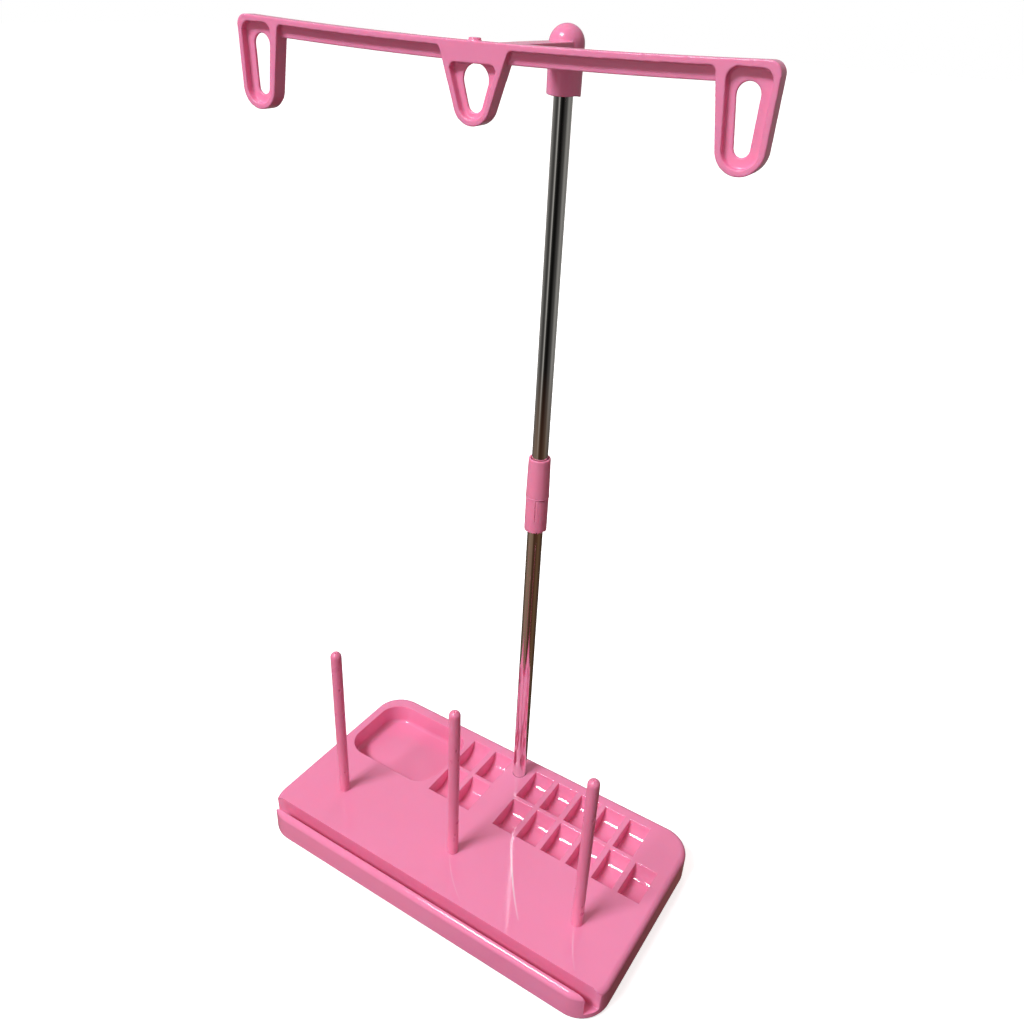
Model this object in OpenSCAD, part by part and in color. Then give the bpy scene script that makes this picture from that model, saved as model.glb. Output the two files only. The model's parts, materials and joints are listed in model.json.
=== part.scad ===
// Thread rack: a hollow base with bobbin troughs, a tray and three spool pins,
// and a tall two-piece stand that carries a swivelling three-loop thread guide.
// Millimetres, +Z up, origin on the table under the middle of the base.

/* [Base] */
// Width of the base, left to right
base_w = 217.4; // [216.8:0.2:222]
// Depth of the base, front to back
base_d = 120.4; // [120.4:0.2:124]
// Height of the deck above the table
deck_h = 20; // [19.5:0.1:24]
// Plan radius of the four corners
corner_r = 17; // [15.5:0.5:18]
// Rounding of the top outer edge
top_edge_r = 3.5; // [2.5:0.1:4]
// Rounding of the bottom outer edge
low_edge_r = 2.2; // [1.5:0.1:3]
// Gap between the table and the moulding's lower edge
foot_gap = 1.5; // [1:0.1:1.8]
// Thickness of the outer wall
wall_t = 3.1; // [2.4:0.1:3.2]
// Thickness of the deck
deck_t = 2.5; // [1.8:0.1:3]

/* [Front groove] */
// Thickness of the lip in front of the groove
lip_t = 3.15; // [2.4:0.05:3.4]
// Width of the groove, front to back
groove_w = 5.55; // [4.5:0.05:6]
// Depth of the groove below the deck
groove_depth = 13.8; // [10:0.1:14]

/* [Tray] */
// Width of the tray opening
tray_w = 61.8; // [56:0.1:62]
// Depth of the tray opening, front to back
tray_d = 48.6; // [44:0.1:49]
// Distance from the deck down to the tray floor
tray_drop = 13; // [10:0.1:13]
// Plan radius of the tray corners
tray_corner_r = 13; // [8:0.5:14]
// Rounding between the tray walls and floor
tray_floor_r = 2.5; // [1.5:0.1:3]
// Distance from the base's left side to the tray opening
tray_side = 6.4; // [6.2:0.1:6.8]
// Distance from the base's back to the tray opening
tray_back = 8.25; // [8:0.05:9]

/* [Bobbin troughs] */
// Width of one trough opening, along the row
trough_w = 12.6; // [11:0.1:13]
// Distance between neighbouring troughs
trough_pitch = 16; // [15.5:0.1:16.1]
// Radius of the round trough floor
trough_r = 11.6; // [10.5:0.1:11.8]
// Depth of a trough below the deck
trough_depth = 9.5; // [7:0.1:10]
// Distance between the two rows
row_pitch = 25.4; // [25:0.1:26]
// Distance from the base's back to the centre line of the back row
row_back = 19.3; // [19:0.1:20]
// Distance between the tray and the left group
group_gap = 2.5; // [2.2:0.1:2.9]
// Distance from the stand's centre to the troughs on either side of it
stand_space = 8.2; // [8:0.1:8.5]
// Least distance from the last trough to the base's right side
row_side = 8; // [7.5:0.1:8.5]

/* [Spool pins] */
// Diameter of a spool pin
pin_d = 6; // [4:0.1:7]
// Height of a pin above the deck
pin_h = 101.5; // [60:0.5:140]
// Distance from the base's sides to the outer pins
pin_side = 30.1; // [26:0.1:40]
// Distance from the base's front to the line of pins
pin_front = 36.1; // [30:0.1:38]
// Depth of a pin's socket below the deck
socket_depth = 13; // [10:0.1:13]
// How much slimmer a pin's root is than its shank
root_step = 0.4; // [0.2:0.1:1]

/* [Stand] */
// Outer diameter of both tubes
tube_d = 8; // [7.6:0.1:8.4]
// Bore of both tubes
tube_bore = 7; // [6.6:0.1:7]
// Place of the stand, left to right
stand_x = -0.7; // [-0.8:0.1:-0.5]
// Distance from the base's back to the stand
stand_back = 14.3; // [14.2:0.1:16]
// Height of the seam between the coupling halves
seam_h = 212.6; // [150:0.2:260]
// Diameter of the coupling
coupling_d = 12; // [11:0.1:14]
// Length of the lower coupling half
lower_half_len = 19.2; // [15:0.1:24]
// Length of the upper coupling half
upper_half_len = 21.7; // [20:0.1:26]
// Diameter of the upper half at its rim
rim_d = 11; // [10.6:0.1:11]
// Length of the spigot that enters the upper tube
spigot_len = 20; // [12:0.5:20]

/* [Thread guide] */
// Height of the lower end of the head
head_h = 396.8; // [340:0.2:440]
// Length of the head below its dome
head_len = 18.7; // [17:0.1:22]
// Diameter of the head at its lower end
head_low_d = 14.1; // [13:0.1:14.4]
// Diameter of the dome
dome_d = 14.4; // [14.4:0.1:15]
// Distance from the stand to the front of the bar
guide_reach = 71; // [66:0.5:72]
// Thickness of the bar, front to back
bar_t = 6.2; // [5.5:0.1:7]
// Height of the bar
bar_h = 6.45; // [6:0.05:7]
// Height of the middle of the bar's top above the head's lower end
bar_rise = 20.8; // [20:0.05:21.2]
// How much higher the bar's top is at its bow points
bow = 1.9; // [0:0.1:3]
// Width of the rims round the recesses, and height of the bar's flange
rim_t = 2.1; // [1.6:0.1:2.2]
// Depth of the recesses in the front
recess_depth = 2.7; // [2:0.1:3.2]
// Thickness of the web between the front and back recesses
web_t = 1.2; // [1:0.1:2]
// Width of the arm
arm_w = 10.6; // [8:0.1:12]
// Height of the arm's section
arm_h = 5.4; // [4:0.1:5.4]
// Distance from the middle to the end loops' round bottoms
loop_x = 96.1; // [94:0.1:97]
// Radius of the end loops' round bottoms
loop_r = 8; // [7.5:0.1:8.4]
// Drop from the bar's middle top to the centre of those bottoms
loop_drop = 22.55; // [20:0.05:26]
// Radius of the middle loop's round bottom
mid_loop_r = 7.5; // [7.2:0.1:8]
// Drop from the bar's middle top to the centre of that bottom
mid_loop_drop = 18.95; // [18:0.05:20]
// Distance of the middle loop from the stand's line, to the right
mid_shift = 0.6; // [-1:0.1:1]
// Turn of the guide about the stand, in degrees, seen from above
guide_turn = 3; // [-6:0.5:6]
// Dip of the bar's right end, in degrees
bar_dip = 0.6; // [0:0.1:1]

/* [Hidden] */
$fn = 64;

// Clearances
turn_gap = 0.05;
seat_gap = 0.3;
cut_over = 1;
// How far an arc stands past the straight side it runs into
arc_over = 0.02;

// Base moulding
pocket_wall = 2;
groove_floor_t = 2.5;
cavity_front = -base_d / 2 + lip_t + groove_w + deck_t;
cavity_top = deck_h - deck_t;
groove_floor = deck_h - groove_depth;
join_h = deck_h - deck_t / 2;
tray_left = tray_side - base_w / 2;
tray_x = tray_left + tray_w / 2;
tray_y = base_d / 2 - tray_back - tray_d / 2;
tray_floor = deck_h - tray_drop;
trough_axis = deck_h - trough_depth + trough_r;
front_row_y = base_d / 2 - row_back - row_pitch;
left_group_x = tray_left + tray_w + group_gap;
right_group_x = stand_x + stand_space;
// As many troughs as the space beside the stand holds, one fewer at the right end of the back row
left_count = 1 + floor((stand_x - stand_space - left_group_x - trough_w) / trough_pitch);
right_count = 1 + floor((base_w / 2 - row_side - right_group_x - trough_w) / trough_pitch);
// Each group of troughs: left edge, number of troughs, row
trough_groups = [[left_group_x, left_count, 0], [left_group_x, left_count, 1],
    [right_group_x, right_count, 0], [right_group_x, right_count - 1, 1]];
pin_spread = base_w / 2 - pin_side;
pin_row_y = pin_front - base_d / 2;
stand_y = base_d / 2 - stand_back;
root_d = pin_d - root_step;
// Height of a pin's shoulder above the deck
shoulder_gap = 0.2;
socket_floor = deck_h - socket_depth;
socket_boss_d = 11;

// Bottom cover, its screws and the feet
cover_h = 2;
cover_t = 2.4;
screw_d = 3;
screw_head_d = 5.6;
screw_head_t = 1.2;
screw_len = 7.5;
screw_boss_d = 7;
screw_slot = 0.8;
// Distances of the cover screws from the base's sides, front and back, and from the front row
screw_side = 12.7;
screw_front = 19.2;
screw_back = 8.8;
screw_corner = 14.2;
screw_mid = 22.5;
screw_x = base_w / 2 - screw_side;
screw_front_y = screw_front - base_d / 2;
screw_mid_y = front_row_y - screw_mid;
screw_back_y = base_d / 2 - screw_back;
screw_corner_y = base_d / 2 - screw_corner;
screw_web_x = left_group_x + (trough_w + trough_pitch) / 2;
screw_spots = [[-screw_x, screw_front_y], [screw_x, screw_front_y], [-screw_x, screw_mid_y],
    [screw_x, screw_mid_y], [screw_web_x, screw_back_y], [screw_x, screw_corner_y]];
foot_d = 12;
foot_low_d = 11;
foot_inset = 0.5;
// Distances of the feet from the front screws and from the base's back
foot_step = 13;
foot_back = 17.2;
foot_x = screw_x - foot_step;
foot_front_y = screw_front_y;
foot_back_y = base_d / 2 - foot_back;

// Stand
stand_boss_d = 16;
tube_rise = 6;
tube_seat = cover_h + tube_rise;
washer_d = 9;
washer_t = 0.8;
anchor_head_d = 7.5;
anchor_head_t = 2.4;
anchor_d = 4;
anchor_web = 2.5;
anchor_slot = 1;
anchor_seat = tube_seat - anchor_web;
plug_len = 15;
plug_web = 4;
// Space between the seam and the upper tube's lower end
tube_lift = 0.6;
mouth_len = 4;
mouth_d = 9;
rim_round = 0.8;
// Length of the upper tube inside the head
head_grip = 14;
tube_top = head_h + head_grip;

// Thread guide
bar_top = head_h + bar_rise;
bow_half = 95;
// Lean of the loops' sides from upright, outer and inner, in degrees
lean_out = 1.6;
lean_in = 8.6;
lean_pocket = 5.4;
mid_lean = 18.7;
corner_out_r = 4;
loop_corner_x = loop_x + loop_r - corner_out_r + (loop_drop + bow - corner_out_r) * tan(lean_out);
fill_r = 2;
pocket_corner_r = 3.6;
mid_pocket_drop = 6.75;
arm_drop = 1.15;
// Eyes of the end loops and of the middle loop
eye_top_r = 3.75;
eye_low_r = 2.6;
eye_len = 14.9;
eye_lean = 2.5;
eye_drop = 7.75;
eye_offset = 0.9;
mid_eye_top_r = 5.1;
mid_eye_low_r = 3;
mid_eye_len = 7.4;
mid_eye_drop = 11.85;
// Gate mark on top of the bar
gate_d = 4.3;
gate_h = 1;
gate_inset = 0.3;

// Height of the bar's top edge at a distance along the bar
function top_at(s) = bar_top + bow * pow(s / bow_half, 2);

// Outline with straight sides and round corners, centred on the origin
module round_plan(w, d, r) {
    square([w, d - 2 * r], center = true);
    square([w - 2 * r, d], center = true);
    for (sx = [-1, 1], sy = [-1, 1])
        translate([sx * (w / 2 - r), sy * (d / 2 - r)])
            circle(r);
}

// Half of a slab's section, from its middle out to its rounded edge
module edge_section(reach, low, high, low_r, high_r) {
    translate([0, low + low_r])
        square([reach, high - high_r - low - low_r]);
    translate([0, low])
        square([reach - low_r, low_r]);
    translate([reach - low_r, low + low_r])
        circle(low_r);
    if (high_r > 0) {
        translate([0, high - high_r])
            square([reach - high_r, high_r]);
        translate([reach - high_r, high - high_r])
            circle(high_r);
    }
}

// Slab with round plan corners and rounded upper and lower edges
module soft_slab(w, d, r, low, high, low_r, high_r) {
    rotate([90, 0, 0])
        linear_extrude(d - 2 * r, center = true)
            for (side = [0, 1])
                mirror([side, 0])
                    edge_section(w / 2, low, high, low_r, high_r);
    rotate([90, 0, 90])
        linear_extrude(w - 2 * r, center = true)
            for (side = [0, 1])
                mirror([side, 0])
                    edge_section(d / 2, low, high, low_r, high_r);
    for (sx = [-1, 1], sy = [-1, 1])
        translate([sx * (w / 2 - r), sy * (d / 2 - r), 0])
            rotate_extrude()
                intersection() {
                    edge_section(r, low, high, low_r, high_r);
                    translate([0, low])
                        square([r, high - low]);
                }
}

// Plan of the hollow behind the groove, less a gap all round
module cavity_plan(gap) {
    intersection() {
        round_plan(base_w - 2 * wall_t - 2 * gap, base_d - 2 * wall_t - 2 * gap,
            corner_r - wall_t - gap);
        translate([-base_w / 2, cavity_front + gap])
            square([base_w, base_d]);
    }
}

// Row of cylinders lying along X, as troughs or as the walls round them
module trough_row(group, grow) {
    translate([group[0] - grow, front_row_y + group[2] * row_pitch, trough_axis])
        rotate([0, 90, 0])
            cylinder(r = trough_r + grow, h = (group[1] - 1) * trough_pitch + trough_w + 2 * grow);
}

// One trough's cut
module trough_cut(x, y) {
    translate([x, y, trough_axis])
        rotate([0, 90, 0])
            cylinder(r = trough_r, h = trough_w);
}

// Upright cylinder between two heights
module post(d, low, high) {
    translate([0, 0, low])
        cylinder(d = d, h = high - low);
}

// Walls, bosses and pockets under the deck
module under_deck() {
    intersection() {
        for (group = trough_groups)
            trough_row(group, pocket_wall);
        translate([-base_w / 2, -base_d / 2, cover_h])
            cube([base_w, base_d, join_h - cover_h]);
    }
    translate([tray_x, tray_y, tray_floor - pocket_wall])
        linear_extrude(join_h - tray_floor + pocket_wall)
            round_plan(tray_w + 2 * pocket_wall, tray_d + 2 * pocket_wall,
                tray_corner_r + pocket_wall);
    for (side = [-1, 0, 1])
        translate([side * pin_spread, pin_row_y, 0])
            post(socket_boss_d, socket_floor - pocket_wall, join_h);
    translate([stand_x, stand_y, 0])
        post(stand_boss_d, cover_h, join_h);
    for (spot = screw_spots)
        translate([spot[0], spot[1], 0])
            post(screw_boss_d, cover_h + cover_t, join_h);
}

module base_shell() {
    color("hotpink")
        difference() {
            union() {
                difference() {
                    soft_slab(base_w, base_d, corner_r, foot_gap, deck_h, low_edge_r, top_edge_r);
                    translate([0, 0, foot_gap - cut_over])
                        linear_extrude(cavity_top - foot_gap + cut_over)
                            cavity_plan(0);
                }
                under_deck();
            }
            // Groove along the front, open at both ends
            translate([-base_w / 2 - cut_over, -base_d / 2 + lip_t, groove_floor])
                cube([base_w + 2 * cut_over, groove_w, groove_depth + cut_over]);
            // Hollow below the groove floor
            translate([corner_r - base_w / 2, -base_d / 2 + lip_t, foot_gap - cut_over])
                cube([base_w - 2 * corner_r, groove_w,
                    groove_floor - groove_floor_t - foot_gap + cut_over]);
            translate([tray_x, tray_y, 0])
                soft_slab(tray_w, tray_d, tray_corner_r, tray_floor, deck_h + cut_over,
                    tray_floor_r, 0);
            for (group = trough_groups, k = [0 : group[1] - 1])
                trough_cut(group[0] + k * trough_pitch, front_row_y + group[2] * row_pitch);
            for (side = [-1, 0, 1])
                translate([side * pin_spread, pin_row_y, 0])
                    post(root_d + 2 * turn_gap, socket_floor, deck_h + cut_over);
            translate([stand_x, stand_y, 0]) {
                post(tube_d + 2 * turn_gap, tube_seat, deck_h + cut_over);
                post(anchor_d + 2 * seat_gap, cover_h - cut_over, tube_seat + cut_over);
                post(washer_d + 2 * seat_gap, cover_h - cut_over, anchor_seat);
            }
            for (spot = screw_spots)
                translate([spot[0], spot[1], 0])
                    post(screw_d + 2 * turn_gap, cover_h + cover_t - cut_over,
                        cover_h + screw_len + cut_over);
        }
}

module bottom_cover() {
    color("palevioletred")
        difference() {
            translate([0, 0, cover_h])
                linear_extrude(cover_t)
                    cavity_plan(seat_gap);
            translate([stand_x, stand_y, 0])
                post(stand_boss_d + 2 * seat_gap, cover_h - cut_over, cover_h + cover_t + cut_over);
            for (spot = screw_spots)
                translate([spot[0], spot[1], 0]) {
                    post(screw_d + 2 * seat_gap, cover_h - cut_over, cover_h + cover_t + cut_over);
                    post(screw_head_d + 2 * seat_gap, cover_h - cut_over, cover_h + screw_head_t);
                }
            for (sx = [-1, 1], y = [foot_front_y, foot_back_y])
                translate([sx * foot_x, y, 0])
                    post(foot_d + 2 * seat_gap, cover_h - cut_over, cover_h + foot_inset);
        }
}

module cover_screws() {
    color("silver")
        for (spot = screw_spots)
            translate([spot[0], spot[1], 0])
                difference() {
                    union() {
                        post(screw_head_d, cover_h, cover_h + screw_head_t);
                        post(screw_d, cover_h, cover_h + screw_len);
                    }
                    // Cross recess in the head
                    for (turn = [0, 90])
                        rotate([0, 0, turn])
                            translate([-screw_d / 2, -screw_slot / 2, cover_h - cut_over])
                                cube([screw_d, screw_slot, screw_head_t / 2 + cut_over]);
                }
}

module foot(x, y) {
    color("dimgray")
        translate([x, y, 0])
            cylinder(d1 = foot_low_d, d2 = foot_d, h = cover_h + foot_inset);
}

module foot_front_left() {
    foot(-foot_x, foot_front_y);
}

module foot_front_right() {
    foot(foot_x, foot_front_y);
}

module foot_back_left() {
    foot(-foot_x, foot_back_y);
}

module foot_back_right() {
    foot(foot_x, foot_back_y);
}

module lower_tube() {
    color("silver")
        translate([stand_x, stand_y, 0])
            difference() {
                post(tube_d, tube_seat, seam_h - plug_web);
                post(tube_bore, tube_seat - cut_over, seam_h);
            }
}

module tube_plug() {
    color("gray")
        translate([stand_x, stand_y, 0])
            difference() {
                post(tube_bore, tube_seat, tube_seat + plug_len);
                post(anchor_d + 2 * turn_gap, tube_seat - cut_over, tube_seat + plug_len + cut_over);
            }
}

module anchor_washer() {
    color("silver")
        translate([stand_x, stand_y, 0])
            difference() {
                post(washer_d, anchor_seat - washer_t, anchor_seat);
                post(anchor_d + 2 * seat_gap, anchor_seat - washer_t - cut_over,
                    anchor_seat + cut_over);
            }
}

module anchor_screw() {
    head_top = anchor_seat - washer_t;
    color("silver")
        translate([stand_x, stand_y, 0])
            difference() {
                union() {
                    post(anchor_head_d, head_top - anchor_head_t, head_top);
                    post(anchor_d, head_top - anchor_head_t, tube_seat + plug_len - cut_over);
                }
                // Cross recess in the head
                for (turn = [0, 90])
                    rotate([0, 0, turn])
                        translate([-anchor_d / 2, -anchor_slot / 2, head_top - anchor_head_t - cut_over])
                            cube([anchor_d, anchor_slot, anchor_head_t / 2 + cut_over]);
            }
}

module coupling_lower() {
    color("hotpink")
        translate([stand_x, stand_y, 0])
            difference() {
                union() {
                    post(coupling_d, seam_h - lower_half_len, seam_h);
                    post(tube_bore - 2 * turn_gap, seam_h - plug_web, seam_h + spigot_len);
                }
                post(tube_d, seam_h - lower_half_len - cut_over, seam_h - plug_web);
            }
}

module upper_tube() {
    color("silver")
        translate([stand_x, stand_y, 0])
            difference() {
                post(tube_d, seam_h + tube_lift, tube_top);
                post(tube_bore, seam_h, tube_top + cut_over);
            }
}

module coupling_upper() {
    top = seam_h + upper_half_len;
    color("hotpink")
        translate([stand_x, stand_y, 0])
            difference() {
                rotate_extrude() {
                    polygon([[0, seam_h], [coupling_d / 2, seam_h], [rim_d / 2, top - rim_round],
                        [0, top - rim_round]]);
                    translate([0, top - rim_round])
                        square([rim_d / 2 - rim_round, rim_round]);
                    translate([rim_d / 2 - rim_round, top - rim_round])
                        circle(rim_round);
                }
                post(tube_d, seam_h - cut_over, top + cut_over);
                post(mouth_d, top - mouth_len, top + cut_over);
            }
}

// Point where the outward normal of a side meets a circle, for a side leaning by an angle
function side_point(x, z, r, lean, side) = [x + side * r * cos(lean), z - r * sin(lean)];

// Point on that side at a height
function side_at(x, z, r, lean, side, h) =
    [x + side * (r * cos(lean) + (h - z + r * sin(lean)) * tan(lean)), h];

// Two circles one above the other, joined by their common tangents
module egg(high_r, low_r, len) {
    lean = asin((high_r - low_r) / len);
    high_q = high_r - arc_over;
    low_q = low_r - arc_over;
    circle(high_r);
    translate([0, -len])
        circle(low_r);
    polygon([side_point(0, 0, high_q, lean, 1), side_point(0, 0, high_q, lean, -1),
        side_point(0, -len, low_q, lean, -1), side_point(0, -len, low_q, lean, 1)]);
}

// Strip along the bar, bowed up towards its ends
module bar_strip(drop, height) {
    steps = 24;
    half = loop_corner_x;
    polygon(concat(
        [for (i = [0 : steps]) let (s = -half + 2 * half * i / steps) [s, top_at(s) - drop - height]],
        [for (i = [steps : -1 : 0]) let (s = -half + 2 * half * i / steps) [s, top_at(s) - drop]]));
}

// Outline with a round bottom, two leaning sides and round upper corners
module bucket(x, z, r, left_lean, right_lean, high, round_r) {
    low_r = r - arc_over;
    high_r = round_r - arc_over;
    upper_z = high - round_r;
    left_x = side_at(x, z, low_r, left_lean, -1, upper_z)[0] + high_r / cos(left_lean);
    right_x = side_at(x, z, low_r, right_lean, 1, upper_z)[0] - high_r / cos(right_lean);
    translate([x, z])
        circle(r);
    for (upper_x = [left_x, right_x])
        translate([upper_x, upper_z])
            circle(round_r);
    polygon([side_point(x, z, low_r, left_lean, -1), side_point(x, z, low_r, right_lean, 1),
        side_point(right_x, upper_z, high_r, right_lean, 1), [right_x, upper_z + high_r],
        [left_x, upper_z + high_r], side_point(left_x, upper_z, high_r, left_lean, -1)]);
}

// Rounded inner corner between a loop's leaning side and the flange above it
module corner_fill(x, z, r, lean, side, high) {
    low = high - fill_r;
    mid_x = side_at(x, z, r, lean, side, low)[0] + side * fill_r / cos(lean);
    touch = side_point(mid_x, low, fill_r, -lean, -side);
    difference() {
        polygon([[mid_x, low], touch, touch - [side * fill_r, 0],
            [touch[0] - side * fill_r, high + rim_t / 2], [mid_x, high + rim_t / 2]]);
        translate([mid_x, low])
            circle(fill_r + arc_over);
    }
}

// Outline of one end loop, on the right
module loop_outline() {
    z = bar_top - loop_drop;
    low_r = loop_r - arc_over;
    high_r = corner_out_r - arc_over;
    corner_z = top_at(loop_corner_x) - corner_out_r;
    inner = side_at(loop_x, z, low_r, lean_in, -1, bar_top);
    translate([loop_x, z])
        circle(loop_r);
    translate([loop_corner_x, corner_z])
        circle(corner_out_r);
    polygon([side_point(loop_x, z, low_r, lean_in, -1), side_point(loop_x, z, low_r, lean_out, 1),
        side_point(loop_corner_x, corner_z, high_r, lean_out, 1),
        [loop_corner_x, corner_z + corner_out_r - rim_t / 2], inner]);
    corner_fill(loop_x, z, low_r, lean_in, -1, top_at(inner[0]) - rim_t);
}

// Outline of the middle loop
module mid_outline() {
    z = bar_top - mid_loop_drop;
    bucket(0, z, mid_loop_r, mid_lean, mid_lean, bar_top - rim_t / 2, rim_t / 2);
    for (side = [-1, 1])
        corner_fill(0, z, mid_loop_r - arc_over, mid_lean, side, bar_top - rim_t);
}

// Both ends of something drawn for the right end
module both_ends() {
    for (side = [0, 1])
        mirror([side, 0])
            children();
}

// Round head on top of the stand, with its dome
module head() {
    translate([0, 0, head_h])
        rotate_extrude() {
            polygon([[0, 0], [head_low_d / 2, 0], [dome_d / 2, head_len], [0, head_len]]);
            translate([0, head_len])
                intersection() {
                    circle(d = dome_d);
                    square(dome_d);
                }
        }
}

// Extrusion of a front-view outline between two distances in front of the stand
module front_slice(near, far) {
    translate([0, -near, 0])
        rotate([90, 0, 0])
            linear_extrude(far - near)
                children();
}

// Recesses in the loops, cut between two distances in front of the stand
module loop_recesses(near, far) {
    front_slice(near, far) {
        both_ends()
            bucket(loop_x, bar_top - loop_drop, loop_r - rim_t, lean_pocket, lean_out,
                top_at(loop_x) - rim_t, pocket_corner_r);
        translate([mid_shift, 0])
            bucket(0, bar_top - mid_loop_drop, mid_loop_r - rim_t, mid_lean, mid_lean,
                bar_top - mid_pocket_drop, fill_r);
    }
}

// Bowed bar with its three loops, before its turn and dip
module bar() {
    back = guide_reach - bar_t;
    web_front = guide_reach - recess_depth;
    web_back = web_front - web_t;
    difference() {
        union() {
            front_slice(back, guide_reach) {
                bar_strip(0, rim_t);
                both_ends()
                    loop_outline();
                translate([mid_shift, 0])
                    mid_outline();
            }
            front_slice(web_back, web_front)
                bar_strip(0, bar_h);
            translate([0, gate_d / 2 + gate_inset - guide_reach, bar_top - gate_h])
                cylinder(d = gate_d, h = 2 * gate_h);
        }
        loop_recesses(web_front, guide_reach + cut_over);
        loop_recesses(back - cut_over, web_back);
        front_slice(web_back - cut_over, web_front + cut_over) {
            both_ends()
                translate([loop_x - eye_offset, bar_top - eye_drop])
                    rotate(eye_lean)
                        egg(eye_top_r, eye_low_r, eye_len);
            translate([mid_shift, bar_top - mid_eye_drop])
                egg(mid_eye_top_r, mid_eye_low_r, mid_eye_len);
        }
    }
}

module thread_guide() {
    arm_reach = guide_reach - bar_t / 2;
    color("hotpink")
        translate([stand_x, stand_y, 0])
            rotate([0, 0, guide_turn])
                difference() {
                    union() {
                        translate([0, 0, bar_top])
                            rotate([0, bar_dip, 0])
                                translate([0, 0, -bar_top])
                                    bar();
                        translate([-arm_w / 2, -arm_reach, bar_top - arm_drop - arm_h])
                            cube([arm_w, arm_reach, arm_h]);
                        head();
                    }
                    post(tube_d + 2 * turn_gap, head_h - cut_over, tube_top);
                }
}

// One spool pin with its slimmer root and rounded tip
module spool_pin(x) {
    tip = deck_h + pin_h - pin_d / 2;
    color("hotpink")
        translate([x, pin_row_y, 0]) {
            post(root_d, socket_floor, deck_h + 2 * shoulder_gap);
            post(pin_d, deck_h + shoulder_gap, tip);
            translate([0, 0, tip])
                sphere(d = pin_d);
        }
}

module spool_pin_left() {
    spool_pin(-pin_spread);
}

module spool_pin_middle() {
    spool_pin(0);
}

module spool_pin_right() {
    spool_pin(pin_spread);
}

base_shell();
bottom_cover();
cover_screws();
foot_front_left();
foot_front_right();
foot_back_left();
foot_back_right();
lower_tube();
tube_plug();
anchor_washer();
anchor_screw();
coupling_lower();
upper_tube();
coupling_upper();
thread_guide();
spool_pin_left();
spool_pin_middle();
spool_pin_right();
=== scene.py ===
"""Thread rack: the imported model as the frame, dressed with softened edges and moulded surfaces."""

import json
import math

import bmesh
import bpy
from mathutils import Euler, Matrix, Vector
from mathutils import noise as field


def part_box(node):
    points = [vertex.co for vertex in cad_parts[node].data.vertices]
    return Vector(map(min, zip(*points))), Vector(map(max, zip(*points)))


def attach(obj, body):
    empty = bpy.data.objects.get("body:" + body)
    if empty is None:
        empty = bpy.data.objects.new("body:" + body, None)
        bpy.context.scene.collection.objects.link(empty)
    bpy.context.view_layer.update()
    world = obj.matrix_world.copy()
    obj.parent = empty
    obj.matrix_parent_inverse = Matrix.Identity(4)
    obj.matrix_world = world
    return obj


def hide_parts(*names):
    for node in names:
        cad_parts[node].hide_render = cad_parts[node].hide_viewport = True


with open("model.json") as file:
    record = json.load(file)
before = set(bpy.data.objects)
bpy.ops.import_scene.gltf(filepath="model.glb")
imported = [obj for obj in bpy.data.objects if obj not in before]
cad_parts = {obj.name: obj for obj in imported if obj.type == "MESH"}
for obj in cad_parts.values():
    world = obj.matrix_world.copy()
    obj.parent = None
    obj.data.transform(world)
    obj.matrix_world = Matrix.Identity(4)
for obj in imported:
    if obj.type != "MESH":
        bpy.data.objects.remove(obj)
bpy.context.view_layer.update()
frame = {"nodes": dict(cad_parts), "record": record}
NODES = frame["nodes"]
SLOTS = {part["node"]: part["material_slot"] for part in frame["record"]["subparts"]}
BODIES = {}
for body_name, members in frame["record"]["behaviour"]["bodies"].items():
    for member in members:
        BODIES[member] = body_name
MM = 0.001


def half_width(node):
    """Half of a node's width in mm, which is the radius of a round node."""
    low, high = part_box(node)
    return (high[0] - low[0]) / MM / 2


def heights(node):
    """Lowest and highest point of a node, in mm."""
    low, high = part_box(node)
    return low[2] / MM, high[2] / MM


# Sizes read from the frame: the base, its deck and the stand's place in metres, the last two in mm
BASE_LOW, BASE_HIGH = (Vector(point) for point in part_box("base_shell"))
DECK = BASE_HIGH.z
STAND_LOW, STAND_HIGH = (Vector(point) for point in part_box("upper_tube"))
STAND = Vector(((STAND_LOW.x + STAND_HIGH.x) / 2, (STAND_LOW.y + STAND_HIGH.y) / 2, 0.0))
TUBE_RADIUS = (STAND_HIGH.x - STAND_LOW.x) / MM / 2
SEAM = heights("coupling_upper")[0]

# Camera fitted to the photograph: place in mm, angles in degrees, lens and picture width in mm
CAMERA_PLACE = (197.42, -303.04, 432.87)
CAMERA_TURN = (60.09107, -2.45781, 32.76769)
CAMERA_LENS = 31.93
CAMERA_SENSOR = 36.0
# Nearest and farthest distance that the camera sees, in metres
CAMERA_CLIP = (0.01, 30.0)
# Direction of the camera seen from the stand, in degrees from +X
FRONT_ANGLE = -60.4


def add_camera():
    """Camera at the place and angle from which the photograph was taken."""
    data = bpy.data.cameras.new("camera")
    data.lens = CAMERA_LENS
    data.sensor_width = CAMERA_SENSOR
    data.sensor_fit = "HORIZONTAL"
    data.clip_start, data.clip_end = CAMERA_CLIP
    cam = bpy.data.objects.new("camera", data)
    cam.location = Vector(CAMERA_PLACE) * MM
    cam.rotation_euler = Euler([math.radians(a) for a in CAMERA_TURN], "XYZ")
    bpy.context.scene.collection.objects.link(cam)
    bpy.context.scene.camera = cam


# ---- Material nodes ----


def new_material(name):
    """New material with its node tree and its surface shader."""
    mat = bpy.data.materials.new(name)
    mat.use_nodes = True
    tree = mat.node_tree
    return mat, tree, tree.nodes["Principled BSDF"]


def feed(tree, socket, value):
    """Give an input either another node's output or a plain value."""
    if isinstance(value, bpy.types.NodeSocket):
        tree.links.new(value, socket)
    else:
        socket.default_value = value


def coordinates(tree, kind):
    """Coordinates of the shaded point, of the kind that is asked for."""
    return tree.nodes.new("ShaderNodeTexCoord").outputs[kind]


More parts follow.
